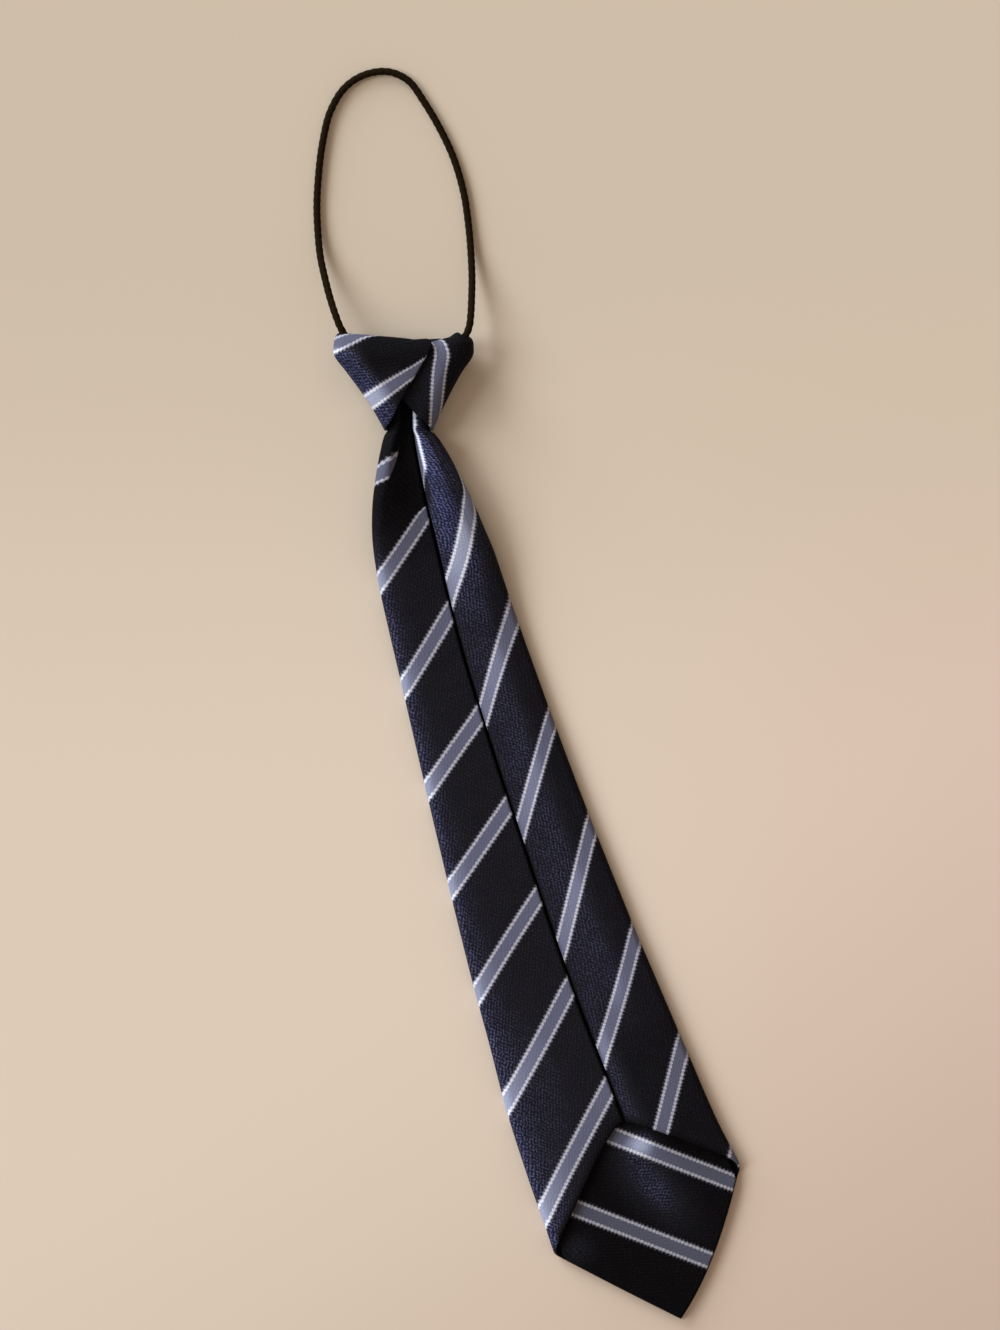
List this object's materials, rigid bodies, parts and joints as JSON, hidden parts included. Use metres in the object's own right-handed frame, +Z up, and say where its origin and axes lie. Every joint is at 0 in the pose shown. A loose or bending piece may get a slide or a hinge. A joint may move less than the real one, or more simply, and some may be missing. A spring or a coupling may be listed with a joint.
{
  "type": "elastic tie",
  "caption": "Pre-tied elastic tie: a long striped blade folded to a seam at the back, with a lined V point, a wound trapezoid knot and a round elastic loop for the neck.",
  "frame": {"origin": "on the surface that the tie lies on, under the middle of the box of all but the elastic", "axes": "+Y up the blade from its point to the knot, +X across it to the right as seen from its back, +Z up out of the tie's back"},
  "size_m": [0.0851, 0.428, 0.0158],
  "materials": {
    "cloth": "navy twill with slanting blue-grey stripes edged in white, a little sheen",
    "lining": "the same navy twill and stripes, in a duller piece",
    "elastic": "matte black braid over round elastic"
  },
  "bodies": {
    "root": {"blade": "cloth", "tipping": "lining", "knot_wrap": "cloth", "neckband": "cloth", "elastic_cord": "elastic"}
  },
  "joints": []
}
